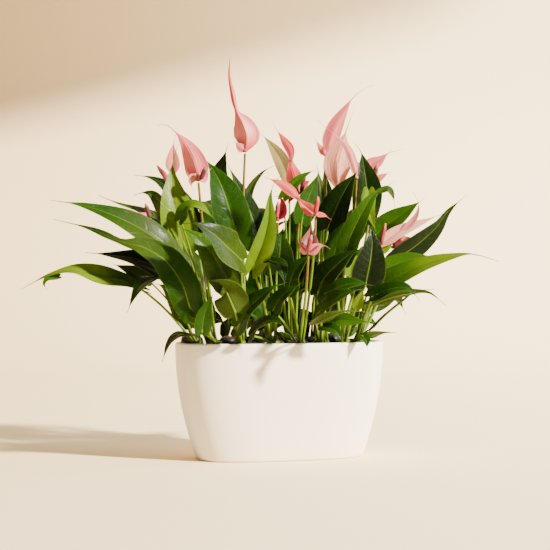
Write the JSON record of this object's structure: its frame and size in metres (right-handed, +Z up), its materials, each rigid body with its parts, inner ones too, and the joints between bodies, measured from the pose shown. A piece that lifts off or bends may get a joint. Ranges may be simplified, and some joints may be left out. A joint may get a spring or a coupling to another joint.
{
  "type": "potted lilli anthurium",
  "caption": "Flowering lilli anthurium with glossy pointed leaves and tall pink spathes, growing from dark river pebbles in an oval flared cream planter.",
  "frame": {"origin": "centre of the planter's flat underside, where it stands on the floor", "axes": "+Z up; +X along the planter's length, towards the end on the right of the picture; +Y towards the plant's back"},
  "size_m": [0.5464, 0.3403, 0.4827],
  "materials": {
    "planter_glaze": "smooth satin cream glaze",
    "soil": "dark matte potting soil",
    "river_stone": "dark polished river stone",
    "leaf_green": "glossy green leaf",
    "spathe_pink": "satin pink spathe",
    "spadix_red": "fine-grained crimson spadix"
  },
  "bodies": {
    "root": {"pebbles": "river_stone", "planter": "planter_glaze", "shoot_01": "leaf_green", "shoot_02": "leaf_green", "shoot_03": "leaf_green", "shoot_04": "leaf_green", "shoot_05": "leaf_green", "shoot_06": "leaf_green", "shoot_07": "leaf_green", "shoot_08": "leaf_green", "shoot_09": "leaf_green", "shoot_10": "leaf_green", "shoot_11": "leaf_green", "shoot_12": "leaf_green", "shoot_13": "leaf_green", "shoot_14": "leaf_green", "soil": "soil", "spadix_01": "spadix_red", "spadix_03": "spadix_red", "spadix_04": "spadix_red", "spadix_05": "spadix_red", "spadix_06": "spadix_red", "spadix_07": "spadix_red", "spadix_08": "spadix_red", "spadix_09": "spadix_red", "spadix_10": "spadix_red", "spadix_11": "spadix_red", "spadix_12": "spadix_red", "spadix_13": "spadix_red", "spadix_14": "spadix_red", "spadix_15": "spadix_red", "spathe_01": "spathe_pink", "spathe_02": "spathe_pink", "spathe_03": "spathe_pink", "spathe_04": "spathe_pink", "spathe_05": "spathe_pink", "spathe_06": "spathe_pink", "spathe_07": "spathe_pink", "spathe_08": "spathe_pink", "spathe_09": "spathe_pink", "spathe_10": "spathe_pink", "spathe_11": "spathe_pink", "spathe_12": "spathe_pink", "spathe_13": "spathe_pink", "spathe_14": "spathe_pink", "spathe_15": "spathe_pink"}
  },
  "joints": []
}
